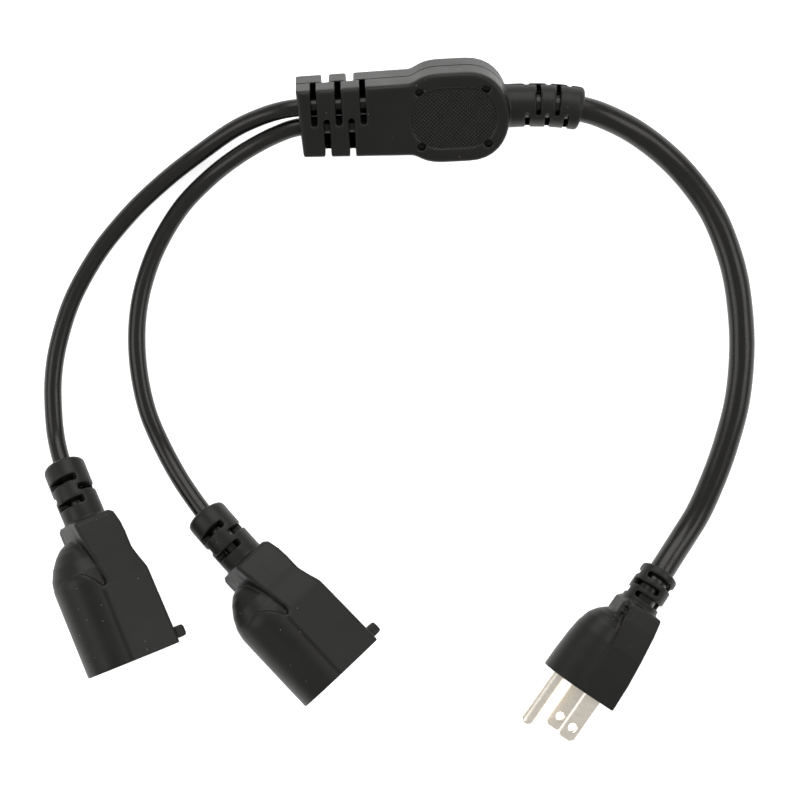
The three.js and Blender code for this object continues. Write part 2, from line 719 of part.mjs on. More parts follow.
function socketCore(grow) {
  const [x0, x1] = socketCavityX;
  const core = innerBox([[x0, -8, -9.1], [x1, 8.4, 9.1]], grow);
  return core.add(solidOf(rodAlongX(10.4 + 2 * grow, x0 - grow, x1 + grow, socketGroundLine, 0, 20)));
}

// A spring clip: two leaves bent from one strip, near each other at the waist and open at the mouth
function bladeContact(z) {
  const [x0, x1] = contactX;
  const base = pocketHalf[1] - clearance - contactThickness / 2;
  const waist = contactGap / 2 + contactThickness / 2;
  const upper = [[x0, 0.3], [x0 + 0.3, base * 0.8], [x0 + 1, base], [x0 + 6, base], [x1 - 5.5, waist],
    [x1 - 3.5, waist], [x1, base * 0.95]];
  const lower = upper.map(([x, y]) => [x, -y]).reverse();
  const strip = stripShape([...lower, ...upper], contactThickness);
  const clip = new THREE.ExtrudeGeometry(strip, { depth: contactWidth, bevelEnabled: false });
  return clip.rotateX(Math.PI / 2).translate(0, socketBladeLine + contactWidth / 2, z);
}

// A split tube with a slit along it, which grips the round pin
function groundContact() {
  const [x0, x1] = contactX;
  const outer = groundPocketDiameter / 2 - clearance;
  const shape = new THREE.Shape();
  const slit = THREE.MathUtils.degToRad(14);
  shape.absarc(0, 0, outer, slit, 2 * Math.PI - slit, false);
  shape.absarc(0, 0, outer - 0.8, 2 * Math.PI - slit, slit, true);
  const tube = new THREE.ExtrudeGeometry(shape, { depth: x1 - x0, bevelEnabled: false, curveSegments: 20 });
  return tube.rotateY(Math.PI / 2).translate(x0, socketGroundLine, 0);
}

function buildSocket(letter, route) {
  const group = endFrame(route, socketRollDeg);
  let body = slabSolid([
    [0, -5.6, 5.4, 8.2], [1.4, -6, 6.7, 9.3], [10.3, -5.8, 7.5, 10.6], [15, -5.4, 7.3, 11.2],
    [19.5, -5, 8.6, 11.8], [23.4, -5.2, 9.8, socketHalfThickness], [25, -6.4, 10, socketHalfThickness],
    [socketLength, -6.4, socketFlatSide, socketHalfThickness],
  ]);
  const nose = [[5.4, 0], [5.9, 2.4], [6.8, 4], [8.7, 5.9], [12.2, 8.7], [16, 10.6], [19.4, 11.4], [22.5, 11.6]];
  body = body.add(roundBack([...nose, [socketLength, socketRoundRadius]], socketRoundCentre));
  body = body.add(neckBlock(0.7, 7.4, -7.4, 5.6, [2.2, 3.8, 5.4]));
  const nub = new THREE.CylinderGeometry(nubDiameter / 2, nubDiameter / 2, nubHeight + 2, 16);
  nub.translate(socketLength - nubFromFace, socketFlatSide + nubHeight / 2 - 1, 0);
  body = body.add(solidOf(nub));
  body = addRelief(
    body, group, route, socketReliefDiameter, socketReliefLength, branchCordDiameter, [14.1, 10.3, 6.7], -1,
  );
  const seats = [
    [contactX[0] - contactThickness / 2 - seatGap, socketBladeLine, bladeSpacing / 2],
    [contactX[0] - seatGap, socketGroundLine + groundPocketDiameter / 2 - 0.7, 0],
    [contactX[0] - contactThickness / 2 - seatGap, socketBladeLine, -bladeSpacing / 2],
  ];
  const routes = wiresToSeats(socketJacketEnd + seatGap, socketCavityX[0], seats, 1.45, 60);
  body = body.subtract(socketCore(clearance));
  body = body.subtract(solidOf(rodAlongX(passageDiameter, socketJacketEnd - 1, socketCavityX[0] + 0.5, 0, 0, 16)));
  let core = socketCore(0);
  const [x0, x1] = [contactX[0] - contactThickness / 2 - clearance, socketLength + 1];
  [[bladeSpacing / 2, lineSlotWidth], [-bladeSpacing / 2, neutralSlotWidth]].forEach(([z, width]) => {
    core = core.subtract(box([x1 - x0, 2 * pocketHalf[0], 2 * pocketHalf[1]], [(x0 + x1) / 2, socketBladeLine, z]));
    body = body.subtract(box([12, width, slotThickness], [socketLength, socketBladeLine, z]));
  });
  const pocket = rodAlongX(groundPocketDiameter, contactX[0] - clearance, x1, socketGroundLine, 0, 24);
  core = core.subtract(solidOf(pocket));
  body = body.subtract(solidOf(rodAlongX(groundHoleDiameter, socketLength - 6, socketLength + 1, socketGroundLine, 0)));
  for (const wire of routes) core = core.subtract(channelSolid(wire));
  const label = "socket_" + letter;
  addPiece(group, label + "_moulding", geometryOf(body), mouldedPvc());
  addPiece(group, label + "_contact_block", geometryOf(core), innerPvc());
  addPiece(group, label + "_contact_line", bladeContact(bladeSpacing / 2), contactBrass());
  addPiece(group, label + "_contact_neutral", bladeContact(-bladeSpacing / 2), contactBrass());
  addPiece(group, label + "_contact_ground", groundContact(), contactBrass());
  ["line", "ground", "neutral"].forEach((coreName, i) => {
    const wire = tubeAlong(curveThrough(routes[i]), wireDiameter, wireSides, wireSteps);
    addPiece(group, "wire_" + label + "_" + coreName, wire, material(wireColours[coreName], 0.45));
  });
}

buildSocket("a", branchRouteA);
buildSocket("b", branchRouteB);

// Cords
addPiece(splitter, "main_cord", tubeAlong(curveThrough(mainRoute), mainCordDiameter, cordSides, 44), jacketPvc());
addPiece(splitter, "branch_cord_a", tubeAlong(curveThrough(branchRouteA), branchCordDiameter, cordSides, 34), jacketPvc());
addPiece(splitter, "branch_cord_b", tubeAlong(curveThrough(branchRouteB), branchCordDiameter, cordSides, 34), jacketPvc());

export default splitter;
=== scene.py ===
import math

import bmesh
import bpy
from mathutils import Matrix, Vector
from mathutils.geometry import interpolate_bezier


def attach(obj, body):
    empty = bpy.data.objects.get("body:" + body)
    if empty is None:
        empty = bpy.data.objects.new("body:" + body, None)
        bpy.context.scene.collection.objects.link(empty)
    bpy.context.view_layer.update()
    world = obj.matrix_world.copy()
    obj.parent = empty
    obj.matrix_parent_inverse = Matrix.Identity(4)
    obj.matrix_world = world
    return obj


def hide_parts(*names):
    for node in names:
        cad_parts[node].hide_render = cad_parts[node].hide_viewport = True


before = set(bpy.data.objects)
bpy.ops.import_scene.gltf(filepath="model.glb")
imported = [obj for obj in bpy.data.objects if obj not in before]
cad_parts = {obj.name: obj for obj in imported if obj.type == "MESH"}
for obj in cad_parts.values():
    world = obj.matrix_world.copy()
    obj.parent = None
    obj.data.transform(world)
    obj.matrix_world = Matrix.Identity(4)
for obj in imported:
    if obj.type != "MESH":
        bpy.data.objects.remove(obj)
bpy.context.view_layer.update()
mm = 0.001

# the foot of the mouldings' box is at the origin, the photographed view is centred beside it
placeShift = Vector((13.05, -0.4, -0.25)) * mm
print("stage: frame loaded")


def shifted(points):
    return [Vector(point) * mm + placeShift for point in points]


# camera: straight above, far away, 3 pixels per millimetre at the height of the mouldings
cameraSetup = {"distance": 1.4, "aimHeight": 0.014, "fieldWidth": 0.26667, "sensor": 36.0}


def addCamera(setup):
    data = bpy.data.cameras.new("camera")
    data.sensor_width = setup["sensor"]
    data.lens = setup["sensor"] * setup["distance"] / setup["fieldWidth"]
    data.clip_end = 20
    camera = bpy.data.objects.new("camera", data)
    camera.location = (placeShift.x, placeShift.y, setup["aimHeight"] + setup["distance"])
    bpy.context.collection.objects.link(camera)
    bpy.context.scene.camera = camera


addCamera(cameraSetup)

# cord routes, from the junction outwards, the same points as in the part
mainRoute = shifted([
    (35, 98.1, 14.4), (43, 98.4, 14.4), (51.5, 98.2, 14.3), (58.5, 97.4, 13.9), (65, 95.9, 12.9),
    (71, 93.6, 11.3), (78, 90.1, 9.1), (85.4, 85.2, 6.8), (93, 78.5, 5.1), (99.8, 70.6, 4.7),
    (105.2, 62.2, 4.65), (109.7, 51.6, 4.65), (112.9, 39.6, 4.65), (114.5, 26, 4.65),
    (114.6, 12.6, 4.65), (112.8, -2, 4.65), (109.6, -14, 4.65), (105.2, -26.5, 4.7),
    (99.9, -38, 5.2), (94.5, -46.6, 7), (90.6, -52.3, 9.3), (87.1, -57.5, 11.6),
    (83.4, -62.9, 13.3), (79.6, -68.4, 13.9), (73.9, -76.6, 13.7),
])
branchRouteA = shifted([
    (-8.2, 98.7, 15.6), (-20, 98.1, 15.6), (-33.6, 97.4, 15.6), (-40.5, 96.3, 14.6), (-48, 94, 12),
    (-56, 90.3, 8.8), (-67.5, 82.6, 5), (-79.6, 73.2, 3.75), (-91.2, 62, 3.6), (-101.3, 49.4, 3.6),
    (-109.8, 34.2, 3.6), (-114.8, 18.6, 3.6), (-116.5, 6.6, 3.6), (-116.4, -3.4, 3.6),
    (-115.4, -12.5, 4.8), (-113.6, -19.6, 7.4), (-111.1, -25.7, 10.2), (-108.1, -32.6, 12.8),
    (-105, -39.7, 14.1), (-100.9, -49.8, 14.4),
])
branchRouteB = shifted([
    (-8.6, 92.5, 13.2), (-20.4, 91.9, 13.2), (-34, 91, 13.2), (-40.5, 88.9, 12.6), (-47.2, 85.8, 11),
    (-55, 81.2, 8.2), (-64.2, 74.3, 4.9), (-74, 64, 3.75), (-82, 50.3, 3.6), (-86.6, 36.8, 3.6),
    (-88.4, 23.4, 3.6), (-87.7, 9.9, 3.6), (-84.9, -3.4, 3.65), (-80.3, -14.5, 3.7),
    (-75.5, -23.4, 5.8), (-70.6, -30.9, 8.6), (-64.6, -38.8, 11.9), (-58.6, -45.6, 14.1),
    (-51.9, -53, 14.3), (-44.4, -61, 14.5),
])


# the plain smooth curve through the points, with its knots spaced by the root of their distance
def smoothPath(points, perSpan):
    before = points[0] * 2 - points[1]
    after = points[-1] * 2 - points[-2]
    run = [before, *points, after]
    path = []
    for i in range(1, len(run) - 2):
        p0, p1, p2, p3 = run[i - 1:i + 3]
        t1 = math.sqrt((p1 - p0).length)
        t2 = t1 + math.sqrt((p2 - p1).length)
        t3 = t2 + math.sqrt((p3 - p2).length)
        for step in range(perSpan):
            t = t1 + (t2 - t1) * step / perSpan
            a1 = p0.lerp(p1, t / t1)
            a2 = p1.lerp(p2, (t - t1) / (t2 - t1))
            a3 = p2.lerp(p3, (t - t2) / (t3 - t2))
            b1 = a1.lerp(a2, t / t2)
            b2 = a2.lerp(a3, (t - t1) / (t3 - t1))
            path.append(b1.lerp(b2, (t - t1) / (t2 - t1)))
    path.append(points[-1].copy())
    return path


# frames of the mouldings: x towards the free end, rolled about x in degrees as each rests on the table
resting = {"junctionCentre": (20, 96.87, 14.4), "junctionTilt": 2.9, "junctionRoll": 22,
           "plugRoll": -21.5, "socketRoll": -24}


def mouldingFrame(origin, ahead, rollDeg):
    x = ahead.normalized()
    y = Vector((0, 0, 1)).cross(x).normalized()
    z = x.cross(y)
    base = Matrix((x, y, z)).transposed().to_4x4()
    return Matrix.Translation(origin) @ base @ Matrix.Rotation(math.radians(rollDeg), 4, "X")


def cordEndFrame(route, rollDeg):
    return mouldingFrame(route[-2], route[-1] - route[-2], rollDeg)


# from a moulding's own millimetres to the model's metres
def inMetres(matrix):
    return matrix @ Matrix.Diagonal((mm, mm, mm, 1))


junctionTilt = math.radians(resting["junctionTilt"])
junctionAhead = Vector((math.cos(junctionTilt), math.sin(junctionTilt), 0))
junctionFrame = mouldingFrame(shifted([resting["junctionCentre"]])[0], junctionAhead, resting["junctionRoll"])
plugFrame = cordEndFrame(mainRoute, resting["plugRoll"])
branchRoutes = (branchRouteA, branchRouteB)
socketFrames = [cordEndFrame(route, resting["socketRoll"]) for route in branchRoutes]


def newPiece(name, mesh, look, smooth=True):
    piece = bpy.data.objects.new(name, mesh)
    bpy.context.collection.objects.link(piece)
    mesh.materials.clear()
    mesh.materials.append(look)
    if smooth:
        mesh.polygons.foreach_set("use_smooth", [True] * len(mesh.polygons))
    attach(piece, "root")
    return piece


def meshFrom(bm, name):
    mesh = bpy.data.meshes.new(name)
    bm.to_mesh(mesh)
    bm.free()
    return mesh


# materials
def linearColour(hexText):
    channels = [int(hexText[i:i + 2], 16) / 255 for i in (1, 3, 5)]
    linear = [c / 12.92 if c <= 0.04045 else ((c + 0.055) / 1.055) ** 2.4 for c in channels]
    return (*linear, 1.0)


def addNode(tree, kind, inputs=None, **settings):
    node = tree.nodes.new(kind)
    for key, value in settings.items():
        setattr(node, key, value)
    for key, value in (inputs or {}).items():
        if isinstance(value, bpy.types.NodeSocket):
            tree.links.new(value, node.inputs[key])
        else:
            node.inputs[key].default_value = value
    return node


def newMaterial(name):
    look = bpy.data.materials.new(name)
    look.use_nodes = True
    return look, look.node_tree, look.node_tree.nodes["Principled BSDF"]


def perMetre(sizeInMm):
    return 1 / (sizeInMm * mm)


# flexible PVC, injection moulded in a spark-eroded steel mould: black, satin, a little uneven,
# with a few specks of dust that cling to it. Here and below, sizes are in millimetres
mouldedPvcForm = {
    "colours": ("#0f0f0e", "#181816"), "dustColour": "#77766f", "lineColour": "#020202",
    "grain": 0.45, "grainHeight": 0.03, "cloud": 14, "dustCell": 2.8, "dust": 0.05, "dustShare": 0.5,
    "partingLine": 0.3, "partingWave": 0.3, "roughness": (0.38, 0.47), "ior": 1.4, "specular": 0.34,
    "tint": (1, 0.985, 0.95, 1),
}


# the line where the mould's halves meet: thin, dark, dull and a little wavy
def addPartingLine(tree, shader, place, cloud, skinTone, partingFrame):
    form = mouldedPvcForm
    normal = partingFrame.to_3x3().col[2].normalized()
    swing = form["partingWave"] * mm
    height = addNode(tree, "ShaderNodeVectorMath", {0: place, 1: normal}, operation="DOT_PRODUCT")
    wave = addNode(tree, "ShaderNodeMath", {0: cloud, 1: swing, 2: -swing / 2}, operation="MULTIPLY_ADD")
    level = addNode(tree, "ShaderNodeMath", {0: height.outputs["Value"], 1: wave.outputs[0]},
                    operation="ADD")
    parting = addNode(tree, "ShaderNodeMath", {
        0: level.outputs[0], 1: partingFrame.translation.dot(normal), 2: form["partingLine"] * mm},
        operation="COMPARE")
    lined = addNode(tree, "ShaderNodeMix", {
        "Factor": parting.outputs[0], "A": skinTone, "B": linearColour(form["lineColour"])},
        data_type="RGBA")
    dull = addNode(tree, "ShaderNodeMapRange", {
        "Value": parting.outputs[0], "To Min": form["specular"], "To Max": 0.0})
    tree.links.new(dull.outputs["Result"], shader.inputs["Specular IOR Level"])
    return lined.outputs["Result"]


def mouldedPvc(name, partingFrame=None):
    look, tree, shader = newMaterial(name)
    form = mouldedPvcForm
    dark, light = [linearColour(text) for text in form["colours"]]
    place = addNode(tree, "ShaderNodeTexCoord").outputs["Object"]
    grain = addNode(tree, "ShaderNodeTexNoise", {
        "Vector": place, "Scale": perMetre(form["grain"]), "Detail": 3.0, "Roughness": 0.6})
    cloud = addNode(tree, "ShaderNodeTexNoise", {
        "Vector": place, "Scale": perMetre(form["cloud"]), "Detail": 4.0, "Roughness": 0.55})
    dust = addNode(tree, "ShaderNodeTexVoronoi", {
        "Vector": place, "Scale": perMetre(form["dustCell"]), "Randomness": 1.0})
    speck = addNode(tree, "ShaderNodeMath", {0: dust.outputs["Distance"], 1: form["dust"]},
                    operation="LESS_THAN")
    cellPick = addNode(tree, "ShaderNodeSeparateColor", {"Color": dust.outputs["Color"]})
    chosen = addNode(tree, "ShaderNodeMath", {0: cellPick.outputs["Red"], 1: form["dustShare"]},
                     operation="GREATER_THAN")
    dustMask = addNode(tree, "ShaderNodeMath", {0: speck.outputs[0], 1: chosen.outputs[0]},
                       operation="MULTIPLY")
    tone = addNode(tree, "ShaderNodeMix", {
        "Factor": cloud.outputs["Fac"], "A": dark, "B": light}, data_type="RGBA")
    dusty = addNode(tree, "ShaderNodeMix", {
        "Factor": dustMask.outputs[0], "A": tone.outputs["Result"], "B": linearColour(form["dustColour"])},
        data_type="RGBA")
    skinTone = dusty.outputs["Result"]
    if partingFrame:
        skinTone = addPartingLine(tree, shader, place, cloud.outputs["Fac"], skinTone, partingFrame)
    else:
        shader.inputs["Specular IOR Level"].default_value = form["specular"]
    tree.links.new(skinTone, shader.inputs["Base Color"])
    smooth, rough = form["roughness"]
    matt = addNode(tree, "ShaderNodeMapRange", {
        "Value": cloud.outputs["Fac"], "From Min": 0.3, "From Max": 0.7, "To Min": smooth, "To Max": rough})
    tree.links.new(matt.outputs["Result"], shader.inputs["Roughness"])
    relief = addNode(tree, "ShaderNodeBump", {
        "Height": grain.outputs["Fac"], "Strength": 0.35, "Distance": form["grainHeight"] * mm})
    tree.links.new(relief.outputs["Normal"], shader.inputs["Normal"])
    shader.inputs["IOR"].default_value = form["ior"]
    shader.inputs["Specular Tint"].default_value = form["tint"]
    return look


# flexible PVC, extruded over the twisted cores: black with a soft gloss, and faint lines along it
jacketPvcForm = {
    "colours": ("#0c0c0b", "#121211"), "drawLinesAround": 60, "drawLineLength": 40, "skin": 2.2,
    "skinHeight": 0.05, "roughness": (0.2, 0.3), "ior": 1.42, "specular": 0.42, "tint": (1, 0.98, 0.94, 1),
}


def jacketPvc():
    look, tree, shader = newMaterial("blackExtrudedPvc")
    form = jacketPvcForm
    dark, light = [linearColour(text) for text in form["colours"]]
    place = addNode(tree, "ShaderNodeUVMap", uv_map="along")
    stretched = addNode(tree, "ShaderNodeMapping", {
        "Vector": place.outputs["UV"],
        "Scale": (form["drawLinesAround"], perMetre(form["drawLineLength"]), 1)})
    lines = addNode(tree, "ShaderNodeTexNoise", {
        "Vector": stretched.outputs["Vector"], "Scale": 1.0, "Detail": 3.0, "Roughness": 0.6})
    objectPlace = addNode(tree, "ShaderNodeTexCoord").outputs["Object"]
    skin = addNode(tree, "ShaderNodeTexNoise", {
        "Vector": objectPlace, "Scale": perMetre(form["skin"]), "Detail": 4.0, "Roughness": 0.65})
    tone = addNode(tree, "ShaderNodeMix", {
        "Factor": lines.outputs["Fac"], "A": dark, "B": light}, data_type="RGBA")
    tree.links.new(tone.outputs["Result"], shader.inputs["Base Color"])
    smooth, rough = form["roughness"]
    gloss = addNode(tree, "ShaderNodeMapRange", {
        "Value": skin.outputs["Fac"], "From Min": 0.3, "From Max": 0.7, "To Min": smooth, "To Max": rough})
    tree.links.new(gloss.outputs["Result"], shader.inputs["Roughness"])
    heights = addNode(tree, "ShaderNodeMath", {
        0: lines.outputs["Fac"], 1: skin.outputs["Fac"]}, operation="ADD")
    relief = addNode(tree, "ShaderNodeBump", {
        "Height": heights.outputs[0], "Strength": 0.3, "Distance": form["skinHeight"] * mm})
    tree.links.new(relief.outputs["Normal"], shader.inputs["Normal"])
    shader.inputs["IOR"].default_value = form["ior"]
    shader.inputs["Specular IOR Level"].default_value = form["specular"]
    shader.inputs["Specular Tint"].default_value = form["tint"]
    return look


# brass strip, blanked and nickel plated: warm, pale and bright, with a faint haze
nickelForm = {"colours": ("#e6ddcf", "#f2ebdf"), "haze": 1.6, "hazeHeight": 0.01, "roughness": (0.22, 0.36)}


def nickelPlate():
    look, tree, shader = newMaterial("nickelPlatedBrass")
    form = nickelForm
    dark, light = [linearColour(text) for text in form["colours"]]
    place = addNode(tree, "ShaderNodeTexCoord").outputs["Object"]
    haze = addNode(tree, "ShaderNodeTexNoise", {
        "Vector": place, "Scale": perMetre(form["haze"]), "Detail": 5.0, "Roughness": 0.65})
    tone = addNode(tree, "ShaderNodeMix", {
        "Factor": haze.outputs["Fac"], "A": dark, "B": light}, data_type="RGBA")
    tree.links.new(tone.outputs["Result"], shader.inputs["Base Color"])
    smooth, rough = form["roughness"]
    gloss = addNode(tree, "ShaderNodeMapRange", {
        "Value": haze.outputs["Fac"], "From Min": 0.3, "From Max": 0.7, "To Min": smooth, "To Max": rough})
    tree.links.new(gloss.outputs["Result"], shader.inputs["Roughness"])
    relief = addNode(tree, "ShaderNodeBump", {
        "Height": haze.outputs["Fac"], "Strength": 0.1, "Distance": form["hazeHeight"] * mm})
    tree.links.new(relief.outputs["Normal"], shader.inputs["Normal"])
    shader.inputs["Metallic"].default_value = 1.0
    return look


# hard brass strip, unplated, with the dull haze of handling
brassForm = {"colours": ("#a98443", "#c9a765"), "haze": 2, "roughness": (0.25, 0.45)}


def springBrass():
    look, tree, shader = newMaterial("springBrass")
    form = brassForm
    dark, light = [linearColour(text) for text in form["colours"]]
    place = addNode(tree, "ShaderNodeTexCoord").outputs["Object"]
    haze = addNode(tree, "ShaderNodeTexNoise", {
        "Vector": place, "Scale": perMetre(form["haze"]), "Detail": 4.0, "Roughness": 0.6})
    tone = addNode(tree, "ShaderNodeMix", {
        "Factor": haze.outputs["Fac"], "A": dark, "B": light}, data_type="RGBA")
    tree.links.new(tone.outputs["Result"], shader.inputs["Base Color"])
    smooth, rough = form["roughness"]
    gloss = addNode(tree, "ShaderNodeMapRange", {
        "Value": haze.outputs["Fac"], "To Min": smooth, "To Max": rough})
    tree.links.new(gloss.outputs["Result"], shader.inputs["Roughness"])
    shader.inputs["Metallic"].default_value = 1.0
    return look


# PVC wire insulation and the hard inner blocks: plain colours with a slight mottle
plainPvcForm = {"mottle": 1.5, "mottleHeight": 0.02, "ior": 1.5}


def plainPvc(name, dark, light, roughness):
    look, tree, shader = newMaterial(name)
    form = plainPvcForm
    place = addNode(tree, "ShaderNodeTexCoord").outputs["Object"]
    mottle = addNode(tree, "ShaderNodeTexNoise", {
        "Vector": place, "Scale": perMetre(form["mottle"]), "Detail": 3.0, "Roughness": 0.6})
    tone = addNode(tree, "ShaderNodeMix", {
        "Factor": mottle.outputs["Fac"], "A": linearColour(dark), "B": linearColour(light)},
        data_type="RGBA")
    tree.links.new(tone.outputs["Result"], shader.inputs["Base Color"])
    relief = addNode(tree, "ShaderNodeBump", {
        "Height": mottle.outputs["Fac"], "Strength": 0.2, "Distance": form["mottleHeight"] * mm})
    tree.links.new(relief.outputs["Normal"], shader.inputs["Normal"])
    shader.inputs["Roughness"].default_value = roughness
    shader.inputs["IOR"].default_value = form["ior"]
    return look


looks = {
    "moulding": mouldedPvc("blackMouldedPvc"),
    "junction": mouldedPvc("blackJunctionPvc", junctionFrame),
    "jacket": jacketPvc(),
    "nickel": nickelPlate(),
    "brass": springBrass(),
    "block": plainPvc("innerBlockPvc", "#161719", "#202123", 0.5),
    "line": plainPvc("blackWirePvc", "#141414", "#1c1c1c", 0.4),
    "neutral": plainPvc("whiteWirePvc", "#dcdad2", "#eceae2", 0.4),
    "ground": plainPvc("greenWirePvc", "#256b3b", "#2f7f48", 0.4),
}

for nodeName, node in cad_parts.items():
    if nodeName.startswith("wire_"):
        look = looks[nodeName.split("_")[-1]]
    elif "blade" in nodeName or "pin" in nodeName:
        look = looks["nickel"]
    elif "block" in nodeName:
        look = looks["block"]
    elif "crimp" in nodeName or "contact" in nodeName:
        look = looks["brass"]
    else:
        look = looks["moulding"]
    node.data.materials.clear()
    node.data.materials.append(look)
print("stage: materials made")


# cords: rings carried along the route, swollen a little where the twisted cores press outwards
cordForm = {"sides": 40, "perSpan": 9, "lobes": 3, "lobeDepth": 0.012, "layLength": 62 * mm}


def cordMesh(name, path, diameter):
    form = cordForm
    bm = bmesh.new()
    along = bm.loops.layers.uv.new("along")
    side = Vector((0, 0, 1)).cross(path[1] - path[0])
    rows, distances = [], [0.0]
    for i, centre in enumerate(path):
        ahead = (path[min(i + 1, len(path) - 1)] - path[max(i - 1, 0)]).normalized()
        side = (side - ahead * side.dot(ahead)).normalized()
        top = ahead.cross(side)
        if i:
            distances.append(distances[-1] + (centre - path[i - 1]).length)
        ring = []
        for k in range(form["sides"]):
            turn = 2 * math.pi * k / form["sides"]
            twist = form["lobes"] * (turn - 2 * math.pi * distances[-1] / form["layLength"])
            radius = diameter / 2 * (1 - form["lobeDepth"] * (0.5 - 0.5 * math.cos(twist)))
            across, up = radius * math.cos(turn), radius * math.sin(turn)
            ring.append(bm.verts.new(centre + side * across + top * up))
        rows.append(ring)
    for i in range(len(rows) - 1):
        for k in range(form["sides"]):
            after = (k + 1) % form["sides"]
            face = bm.faces.new((rows[i][k], rows[i][after], rows[i + 1][after], rows[i + 1][k]))
            places = ((k, i), (k + 1, i), (k + 1, i + 1), (k, i + 1))
            for loop, (around, station) in zip(face.loops, places):
                loop[along].uv = (around / form["sides"], distances[station])
    bm.faces.new(rows[0])
    bm.faces.new(rows[-1])
    bmesh.ops.recalc_face_normals(bm, faces=bm.faces)
    return meshFrom(bm, name)


def addCord(setup, route):
    path = smoothPath(route, cordForm["perSpan"])
    mesh = cordMesh(setup["name"], path, setup["diameter"])
    piece = newPiece(setup["name"], mesh, looks["jacket"])
    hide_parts(setup["node"])
    return piece, path


# diameters and lengths in metres. exitStep is the point of the path at the junction's outer end
cords = {
    "main": {"name": "mainCord", "node": "main_cord", "diameter": 0.0087, "length": 0.237, "exitStep": 28},
    "a": {"name": "branchCordA", "node": "branch_cord_a", "diameter": 0.006, "length": 0.219, "exitStep": 19},
    "b": {"name": "branchCordB", "node": "branch_cord_b", "diameter": 0.006, "length": 0.219, "exitStep": 19},
}
mainCord, mainPath = addCord(cords["main"], mainRoute)
branchCordA, pathA = addCord(cords["a"], branchRouteA)
branchCordB, pathB = addCord(cords["b"], branchRouteB)
print("stage: cords laid")


# mouldings: shaped in millimetres, each in its own frame, then given the soft edges of a mould
clearance = 0.3
edgeRadius = 1.6  # the junction's rims
beyond = 1  # how far a cutter reaches past the surface that it cuts
reliefRoot = 2.5  # how far a relief runs into its moulding
# the grain of the skin, and how far it is smoothed
softening = {"voxel": 0.36, "junctionVoxel": 0.42, "passes": 5, "strength": 0.5}


def solidFrom(bm):
    bmesh.ops.recalc_face_normals(bm, faces=bm.faces)
    solid = bpy.data.objects.new("shape", meshFrom(bm, "shape"))
    bpy.context.collection.objects.link(solid)
    return solid


def loftSolid(rings):
    bm = bmesh.new()
    rows = [[bm.verts.new(point) for point in ring] for ring in rings]
    count = len(rows[0])
    for low, high in zip(rows, rows[1:]):
        for i in range(count):
            j = (i + 1) % count
            bm.faces.new((low[i], low[j], high[j], high[i]))
    bm.faces.new(rows[0])
    bm.faces.new(rows[-1])
    return solidFrom(bm)


def boxSolid(low, high, radius=0):
    bm = bmesh.new()
    bmesh.ops.create_cube(bm, size=1)
    bmesh.ops.scale(bm, vec=Vector(high) - Vector(low), verts=bm.verts)
    bmesh.ops.translate(bm, vec=(Vector(low) + Vector(high)) / 2, verts=bm.verts)
    if radius:
        bmesh.ops.bevel(bm, geom=bm.edges, offset=radius, segments=3, profile=0.5, affect="EDGES")
    return solidFrom(bm)


def rodSolid(diameter, start, end):
    bm = bmesh.new()
    ahead = Vector(end) - Vector(start)
    bmesh.ops.create_cone(bm, cap_ends=True, segments=32, radius1=diameter / 2, radius2=diameter / 2,
                          depth=ahead.length)
    bmesh.ops.rotate(bm, matrix=ahead.to_track_quat("Z", "Y").to_matrix(), verts=bm.verts)
    bmesh.ops.translate(bm, vec=(Vector(start) + Vector(end)) / 2, verts=bm.verts)
    return solidFrom(bm)


# a round hole along a moulding, at the height y
def boreSolid(diameter, y, start, end):
    return rodSolid(diameter, (start, y, 0), (end, y, 0))


# a flat outline made thick, with its rims rounded where a radius is given
def prismSolid(outline, low, high, radius=0):
    bm = bmesh.new()
    face = bm.faces.new([bm.verts.new((x, y, low)) for x, y in outline])
    grown = bmesh.ops.extrude_face_region(bm, geom=[face])["geom"]
    raised = [item for item in grown if isinstance(item, bmesh.types.BMVert)]
    bmesh.ops.translate(bm, vec=(0, 0, high - low), verts=raised)
    if radius:
        rims = [edge for edge in bm.edges if abs(edge.verts[0].co.z - edge.verts[1].co.z) < 1e-6]
        bmesh.ops.bevel(bm, geom=rims, offset=radius, segments=4, profile=0.5, affect="EDGES")
    return solidFrom(bm)


def combined(base, added=(), cut=()):
    for operation, others in (("UNION", added), ("DIFFERENCE", cut)):
        for other in others:
            change = base.modifiers.new("change", "BOOLEAN")
            change.solver = "MANIFOLD"
            change.operation = operation
            change.object = other
    mesh = bpy.data.meshes.new_from_object(base.evaluated_get(bpy.context.evaluated_depsgraph_get()))
    for used in (base, *added, *cut):
        bpy.data.objects.remove(used)
    solid = bpy.data.objects.new("shape", mesh)
    bpy.context.collection.objects.link(solid)
    return solid


# the skin of the finished shape, softened, put in its place as the piece that is seen. What would
# dip under the table by a few tenths lies flat on it
def moulded(solid, matrix, nodeName, name, look, voxel=softening["voxel"]):
    remesh = solid.modifiers.new("skin", "REMESH")
    remesh.mode = "VOXEL"
    remesh.voxel_size = voxel
    smooth = solid.modifiers.new("soften", "SMOOTH")
    smooth.factor = softening["strength"]
    smooth.iterations = softening["passes"]
    mesh = bpy.data.meshes.new_from_object(solid.evaluated_get(bpy.context.evaluated_depsgraph_get()))
    bpy.data.objects.remove(solid)
    mesh.transform(inMetres(matrix))
    for vert in mesh.vertices:
        vert.co.z = max(vert.co.z, 0)
    mesh.name = name
    piece = newPiece(name, mesh, look)
    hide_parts(nodeName)
    return piece


# a cord's route in a moulding's own frame, in millimetres, from its inner end outwards
def localPath(route, matrix):
    back = matrix.inverted()
    return [(back @ point) / mm for point in smoothPath(route, 12)]


def walk(path, distance):
    for here, after in zip(path, path[1:]):
        step = (after - here).length
        if distance <= step:
            return here.lerp(after, distance / step), (after - here).normalized()
        distance -= step
    return path[-1], (path[-1] - path[-2]).normalized()


